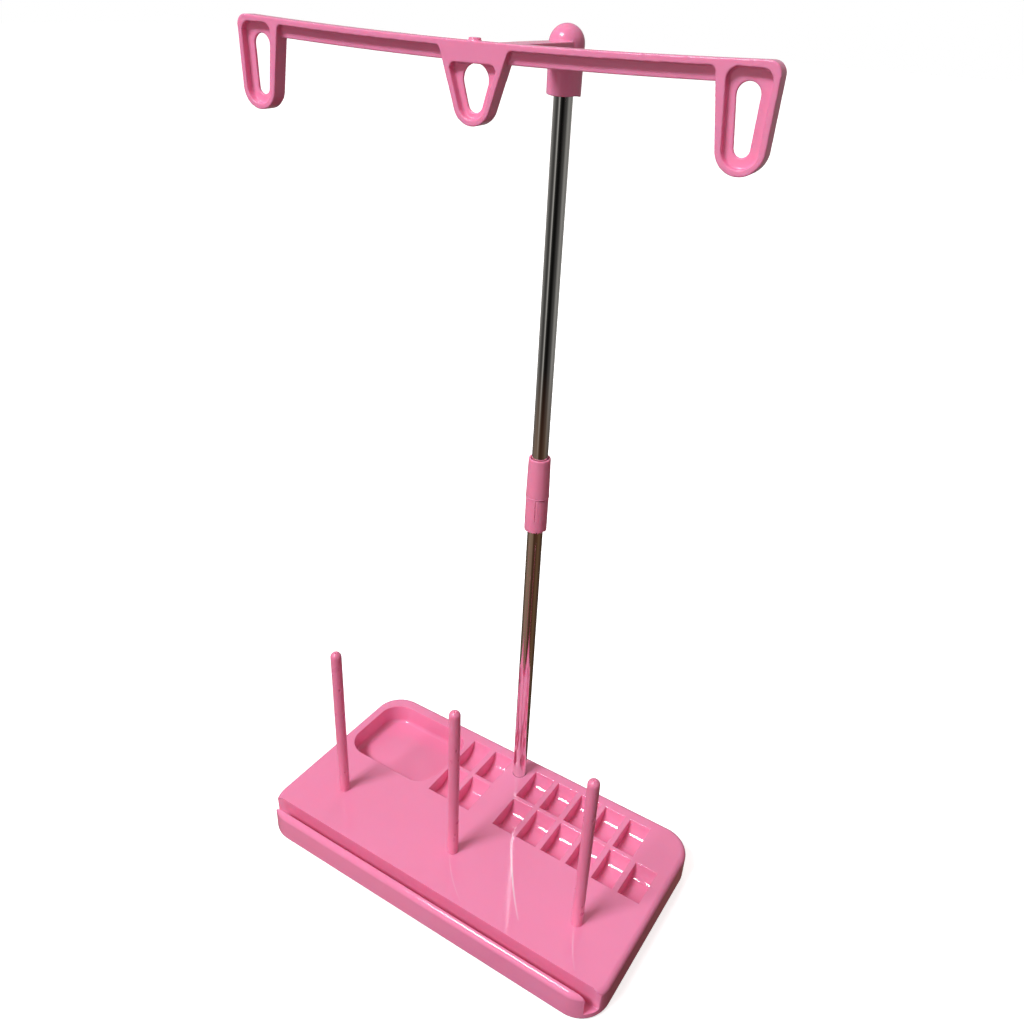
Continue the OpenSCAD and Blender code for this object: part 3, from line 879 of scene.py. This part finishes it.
def spool_pin(name, seed):
    """Moulded pin: not quite even, with two gate nubs on its right and a gate scar on its tip."""
    low, high = (Vector(point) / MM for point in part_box(name))
    radius = (high.x - low.x) / 2
    foot = radius - PIN_FOOT
    shoulder = DECK / MM + PIN_SHOULDER
    tip = high.z - radius

    def shift(r, z, angle):
        if z > shoulder + SHANK_START and r > radius - SHANK_SKIN:
            x, y = on_circle(PIN_MARKS, angle)
            r += SHANK_WAVE * ripple(x, y, z, *PIN_WALL, seed) - SHANK_WAVE
            r += PIN_SEAM_RISE * bell(away(angle, PIN_SEAM_ANGLE) * radius, PIN_SEAM_WIDTH)
            side = away(angle, NUB_ANGLE) * radius
            for nub in NUB_PLACES:
                r += nub_at(side, z - (DECK / MM + nub))
            r = min(r, radius + NUB_RISE)
        if z > tip + TIP_START:
            z = min(z + scar_at(*on_circle(r, angle)), high.z)
        return r, z

    profile = [(foot, low.z), (foot, shoulder), (radius, shoulder)]
    profile += [(radius, z) for z in stretch(shoulder + PIN_SHOULDER, tip, PIN_STEP)]
    profile += corner(0, tip, radius, 0, TIP_TURNS)[1:-1]
    profile.append((AXIS_RING, high.z - TIP_FLAT))
    middle = (low + high) / 2 * MM
    place = Vector((middle.x, middle.y, 0))
    stand_in(turned(name + "_moulded", profile, place, shift, PIN_SEGMENTS), name, PIN_PINK)


# ---- Room, lights and floor ----

# The room that the plating mirrors, as (direction in degrees from +X, brightness) round the stand
ROOM_RING = (
    (-180, 0.26), (-165, 0.17), (-150, 0.11), (-138, 0.075), (-124, 0.05), (-113, 0.14),
    (-106, 0.3), (-101, 0.45), (-95, 0.45), (-90, 0.08), (-80, 0.02), (-66, 0.006), (-50, 0.008),
    (-38, 0.026), (-23, 0.065), (-8, 0.075), (4, 0.18), (18, 0.3), (35, 0.29), (54, 0.21),
    (80, 0.3), (120, 0.45),
)
ROOM_TINT = (1.0, 0.985, 0.94)
# The table near the stand, as (direction, colour). The table glows in these colours: painted light
# that stands in for the lit table round the rack
TABLE_GLOW_RING = (
    (-180, (0.1, 0.07, 0.05)),
    (-144, (0.24, 0.165, 0.12)),
    (-91, (0.2, 0.13, 0.085)),
    (-72, (0.06, 0.028, 0.016)),
    (-29, (0.075, 0.033, 0.018)),
    (4, (0.125, 0.07, 0.036)),
    (24, (0.1, 0.055, 0.032)),
    (46, (0.06, 0.034, 0.02)),
    (120, (0.07, 0.045, 0.035)),
)
# Share of the room's brightness on the far table, and where the table fades into it, in metres
FAR_SHARE = 0.8
TABLE_FADE = (0.4, 0.75)
# Even light on all that isn't mirrored
FILL = 0.34
FILL_COLOUR = (1.0, 0.8, 0.76, 1.0)
WHITE = (1.0, 1.0, 1.0, 1.0)
# Soft lights, as (name, place, aim and size in metres, power, colour, whether gloss mirrors it)
LIGHTS = (
    ("key", (-0.72, -1.95, 2.7), (0.0, 0.0, 0.1), (1.1, 0.54), 91.0, (0.92, 0.98, 1.0), True),
    ("front", (-0.1, -1.3, 0.1), (0.0, 0.0, 0.02), (1.0, 0.3), 2.8, (1.0, 0.95, 0.95), False),
    ("back", (-0.7, 1.5, 0.9), (0.0, 0.0, 0.15), (0.9, 0.5), 4.5, (1.0, 0.95, 0.93), False),
)
# Half width of the floor and the table, and the table's height just below the floor, in metres
STAGE_HALF = 8.0
TABLE_HEIGHT = -0.002
# The floor's paper as ramp stops, and its glow from a near to a far distance in metres. The glow is
# weaker near the rack: a painted shade round it
PAPER_STOPS = ((0.3, (0.78, 0.78, 0.78)), (0.7, (0.8, 0.8, 0.8)))
PAPER_NOISE = 3.0
PAPER_ROUGH = 0.9
SHADED_GLOW_REACH = (0.12, 0.45)
SHADED_GLOW_STOPS = ((0.0, (0.72, 0.72, 0.72)), (1.0, (1.0, 1.0, 1.0)))


def add_area(name, place, aim, size, power, colour, mirrored):
    """Soft rectangular light at a place, turned to what it lights."""
    data = bpy.data.lights.new(name, "AREA")
    data.shape = "RECTANGLE"
    data.size, data.size_y = size
    data.energy = power
    data.color = colour
    lamp = add_object(name, data)
    lamp.location = Vector(place)
    lamp.rotation_euler = (Vector(aim) - Vector(place)).to_track_quat("-Z", "Y").to_euler()
    lamp.visible_glossy = mirrored


def ring_colour(tree, vector, ring):
    """Colour by direction round an upright axis, from (direction, colour) pairs that close."""
    parts = split(tree, vector)
    angle = calculate(tree, "ARCTAN2", parts.outputs["Y"], parts.outputs["X"])
    share = rescale(tree, angle, (-math.pi, math.pi))
    closed = (*ring, (180, ring[0][1]))
    return ramp(tree, share, [((at + 180) / 360, colour) for at, colour in closed])


def room_ring(share):
    """The room's ring as colours, at a share of its brightness."""
    return [(at, tuple(share * level * c for c in ROOM_TINT)) for at, level in ROOM_RING]


def distance(tree, reach):
    """Share of the way from one radius to another, measured from the object's own origin."""
    length = tree.nodes.new("ShaderNodeVectorMath")
    length.operation = "LENGTH"
    tree.links.new(coordinates(tree, "Object"), length.inputs[0])
    return rescale(tree, length.outputs["Value"], reach)


def backdrop(tree, colour):
    """World background of a colour."""
    made = tree.nodes.new("ShaderNodeBackground")
    feed(tree, made.inputs["Color"], colour)
    return made


def choice(tree, share, first, second):
    """Shader that is the first where share is 0 and the second where it is 1."""
    made = tree.nodes.new("ShaderNodeMixShader")
    tree.links.new(share, made.inputs["Fac"])
    tree.links.new(first, made.inputs[1])
    tree.links.new(second, made.inputs[2])
    return made.outputs["Shader"]


def add_world():
    """Camera rays see white paper, gloss sees the room, and all else sees an even light."""
    world = bpy.data.worlds.new("studio")
    bpy.context.scene.world = world
    world.use_nodes = True
    tree = world.node_tree
    fill = tree.nodes["Background"]
    fill.inputs["Color"].default_value = FILL_COLOUR
    fill.inputs["Strength"].default_value = FILL
    white = backdrop(tree, WHITE)
    room = backdrop(tree, ring_colour(tree, coordinates(tree, "Generated"), room_ring(1.0)))
    path = tree.nodes.new("ShaderNodeLightPath").outputs
    even, mirrored, seen = (made.outputs["Background"] for made in (fill, room, white))
    gloss = choice(tree, path["Is Glossy Ray"], even, mirrored)
    pick = choice(tree, path["Is Camera Ray"], gloss, seen)
    tree.links.new(pick, tree.nodes["World Output"].inputs["Surface"])


def plane(name, half, height):
    """Level square of the stage, which isn't part of the object."""
    mesh = bpy.data.meshes.new(name)
    corners = [(x * half, y * half, height) for x, y in ((-1, -1), (1, -1), (1, 1), (-1, 1))]
    mesh.from_pydata(corners, [], [(0, 1, 2, 3)])
    obj = add_object(name, mesh)
    return obj


def add_floor():
    """Pale paper floor whose glow is dimmed under the rack as a painted shade, and which the rack's
    gloss doesn't mirror.
    """
    floor = plane("floor", STAGE_HALF, 0.0)
    mat, tree, shader = new_material("floor_paper")
    shader.inputs["Roughness"].default_value = PAPER_ROUGH
    shader.inputs["Specular IOR Level"].default_value = 0.0
    paper = ramp(tree, noise(tree, PAPER_NOISE), PAPER_STOPS)
    tree.links.new(paper, shader.inputs["Base Color"])
    shader.inputs["Emission Strength"].default_value = 1.0
    # Painted shade: the floor's glow is lower near the rack than far away
    glow = ramp(tree, distance(tree, SHADED_GLOW_REACH), SHADED_GLOW_STOPS)
    tree.links.new(glow, shader.inputs["Emission Color"])
    floor.data.materials.append(mat)
    floor.visible_diffuse = False
    floor.visible_glossy = False


def add_table():
    """What the rack itself sees below it: a sheet that glows as painted light in the colours of a
    brown table top, and fades into the room far away.
    """
    table = plane("table", STAGE_HALF, TABLE_HEIGHT)
    table.location = STAND
    mat, tree, shader = new_material("table_top")
    place = coordinates(tree, "Object")
    near = ring_colour(tree, place, TABLE_GLOW_RING)
    far = ring_colour(tree, place, room_ring(FAR_SHARE))
    shader.inputs["Base Color"].default_value = BLACK
    shader.inputs["Specular IOR Level"].default_value = 0.0
    # Painted light: the table only glows in these colours and takes no light of its own
    seen = mixed(tree, distance(tree, TABLE_FADE), near, far)
    tree.links.new(seen, shader.inputs["Emission Color"])
    shader.inputs["Emission Strength"].default_value = 1.0
    table.data.materials.append(mat)


# ---- Making the scene ----

# Cell of the guide's mesh in mm, smoothing passes, and share of its faces that are kept
GUIDE_CELL = 0.25
GUIDE_PASSES = 9
GUIDE_KEEP = 0.4
# Each pin's unevenness comes from its own stretch of the noise
SEED_STEP = 10.0

add_camera()
add_flow_highlight_lines(BASE_PINK)
finish_nodes()
softened("base_shell", BASE_PINK, base_edge, open_groove)
uneven_head(relaxed("thread_guide", PINK, GUIDE_CELL, GUIDE_PASSES, GUIDE_KEEP))
lower_half()
upper_half()
for number, pin in enumerate(("spool_pin_left", "spool_pin_middle", "spool_pin_right")):
    spool_pin(pin, SEED_STEP * number)
add_world()
add_floor()
add_table()
for light in LIGHTS:
    add_area(*light)
bpy.context.scene.view_settings.view_transform = "Standard"
